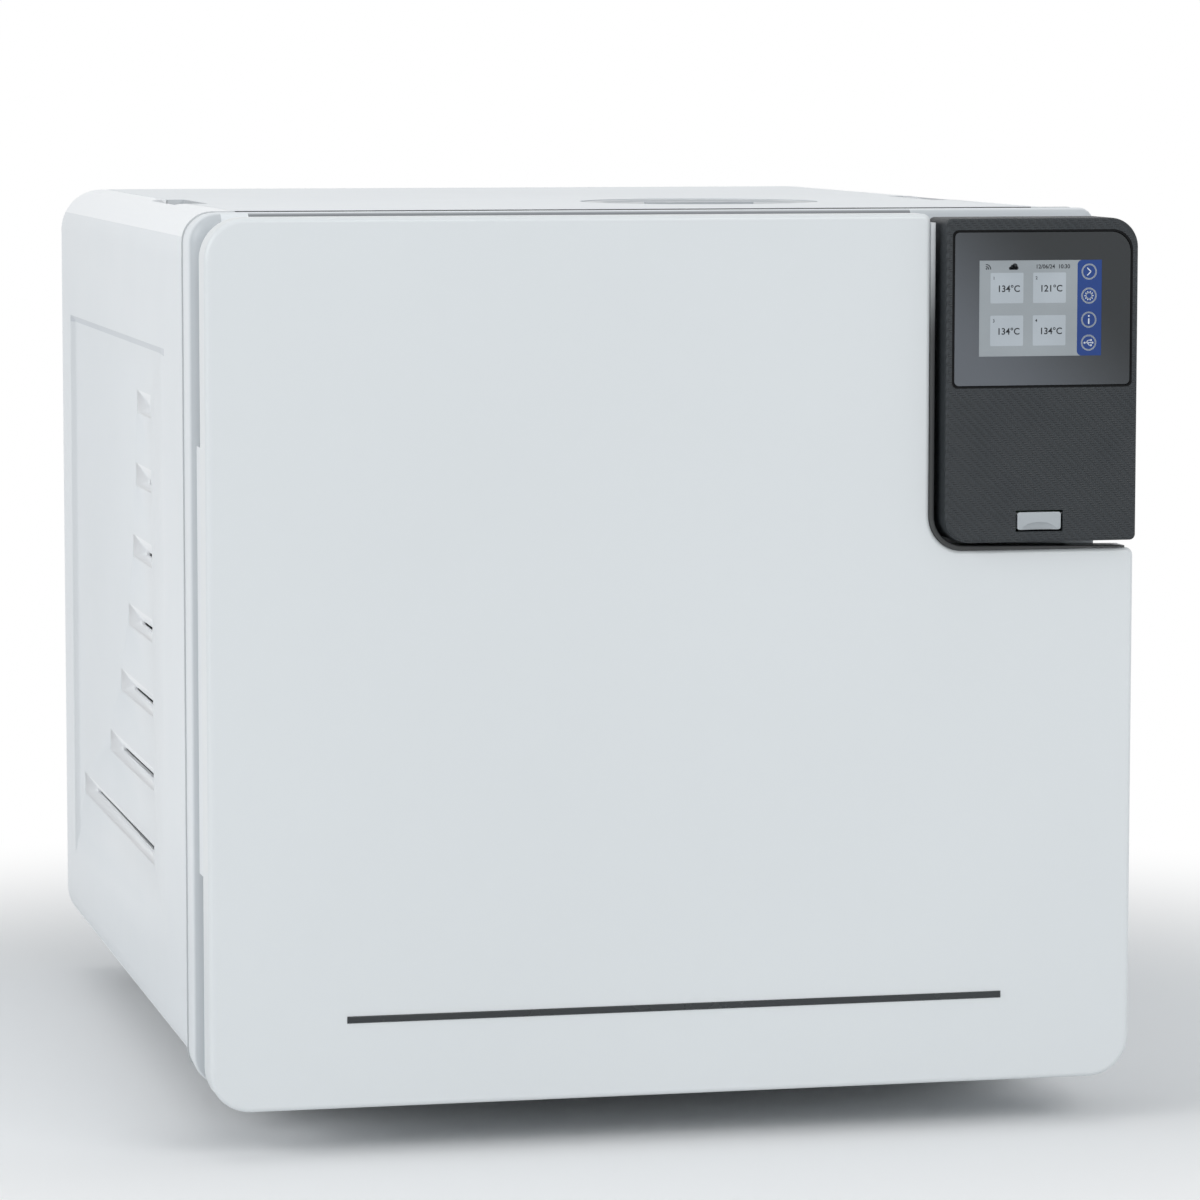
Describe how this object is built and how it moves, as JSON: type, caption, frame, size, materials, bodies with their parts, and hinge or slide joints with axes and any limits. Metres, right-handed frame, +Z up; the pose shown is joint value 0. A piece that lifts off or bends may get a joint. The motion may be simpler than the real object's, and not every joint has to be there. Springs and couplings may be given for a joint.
{
  "type": "bench-top steam sterilizer",
  "caption": "Box-shaped bench-top autoclave: side-hinged front door over a round pressure chamber, corner touch panel, top fill lid and louvred sides.",
  "frame": {"origin": "on the bench, at the middle of the machine's footprint", "axes": "+X to the right and +Y to the rear as seen from the front, +Z up"},
  "size_m": [0.48, 0.622, 0.472],
  "materials": {
    "white_moulding": "satin moulded, fine texture",
    "door_white": "smooth semi-gloss",
    "black_trim": "gloss",
    "textured_black": "fine diagonal weave relief",
    "smoked_glass": "gloss, dark printed border",
    "screen": "lit display",
    "grey_button": "satin",
    "zinc_sheet": "zinc plated sheet",
    "painted_sheet": "powder coated",
    "polished_steel": "polished stainless",
    "alloy": "anodised",
    "brass": "machined, nickel toned",
    "silicone": "translucent white silicone",
    "black_rubber": "matt",
    "dark_plastic": "fine texture",
    "tank_plastic": "translucent natural polymer",
    "lagging": "glass fibre cloth",
    "circuit_board": "solder mask",
    "heater_mat": "silicone heater mat"
  },
  "bodies": {
    "cabinet": {"front_frame": "white_moulding", "hinge_post": "white_moulding", "hinge_pins": "polished_steel", "bulkhead": "zinc_sheet", "lock_housing": "dark_plastic", "right_side_panel": "white_moulding", "left_side_panel": "white_moulding", "right_grip_pocket": "painted_sheet", "left_grip_pocket": "painted_sheet", "top_cover": "white_moulding", "fill_neck": "tank_plastic", "rear_panel": "painted_sheet", "base_plate": "painted_sheet", "feet": "black_rubber", "panel_cover": "textured_black", "control_housing": "textured_black", "display_glass": "smoked_glass", "display_module": "screen", "control_board": "circuit_board", "usb_socket": "polished_steel", "chamber": "polished_steel", "chamber_heater": "heater_mat", "chamber_lagging": "lagging", "chamber_cradles": "zinc_sheet", "tray_rack": "polished_steel", "tray_low": "alloy", "tray_middle": "alloy", "tray_high": "alloy", "deck": "zinc_sheet", "clean_water_tank": "tank_plastic", "used_water_tank": "tank_plastic", "air_filter": "tank_plastic", "power_board": "circuit_board", "steam_generator": "polished_steel", "vacuum_pump": "alloy", "pump_mounts": "black_rubber", "water_pump": "dark_plastic", "manifold_bracket": "zinc_sheet", "valve_manifold": "brass", "solenoid_valves": "dark_plastic", "pipes": "brass", "condenser": "alloy", "fan_frame": "dark_plastic", "power_inlet": "dark_plastic", "mains_switch_frame": "dark_plastic", "safety_valve": "brass", "drain_couplings": "brass", "rear_screws": "polished_steel"},
    "door": {"door_cover": "door_white", "trim_bar": "black_trim", "door_plate": "zinc_sheet", "door_liner": "white_moulding", "pressure_disc": "polished_steel", "door_gasket": "silicone", "door_striker": "polished_steel"},
    "bolt": {"lock_bolt": "polished_steel"},
    "lid": {"fill_lid": "grey_button"},
    "flap": {"usb_flap": "grey_button"},
    "fan": {"fan_rotor": "dark_plastic"},
    "rocker": {"mains_rocker": "black_trim"}
  },
  "joints": [
    {"name": "door_swing", "type": "hinge", "parent": "cabinet", "child": "door", "pos_m": [-0.231, -0.262, 0.138], "axis": [0, 0, -1], "range_deg": [0, 110]},
    {"name": "bolt_slide", "type": "slide", "parent": "cabinet", "child": "bolt", "axis": [-1, 0, 0], "range_m": [0, 0.014]},
    {"name": "lid_lift", "type": "slide", "parent": "cabinet", "child": "lid", "axis": [0, 0, 1], "range_m": [0, 0.06]},
    {"name": "flap_swing", "type": "hinge", "parent": "cabinet", "child": "flap", "pos_m": [0.18635, -0.30975, 0.3187], "axis": [-1, 0, 0], "range_deg": [0, 80]},
    {"name": "rocker_tilt", "type": "hinge", "parent": "cabinet", "child": "rocker", "pos_m": [0.165, 0.282, 0.137], "axis": [-1, 0, 0], "range_deg": [0, 20]},
    {"name": "fan_spin", "type": "hinge", "parent": "cabinet", "child": "fan", "pos_m": [-0.12, 0.272, 0.265], "axis": [0, 1, 0], "continuous": true}
  ]
}
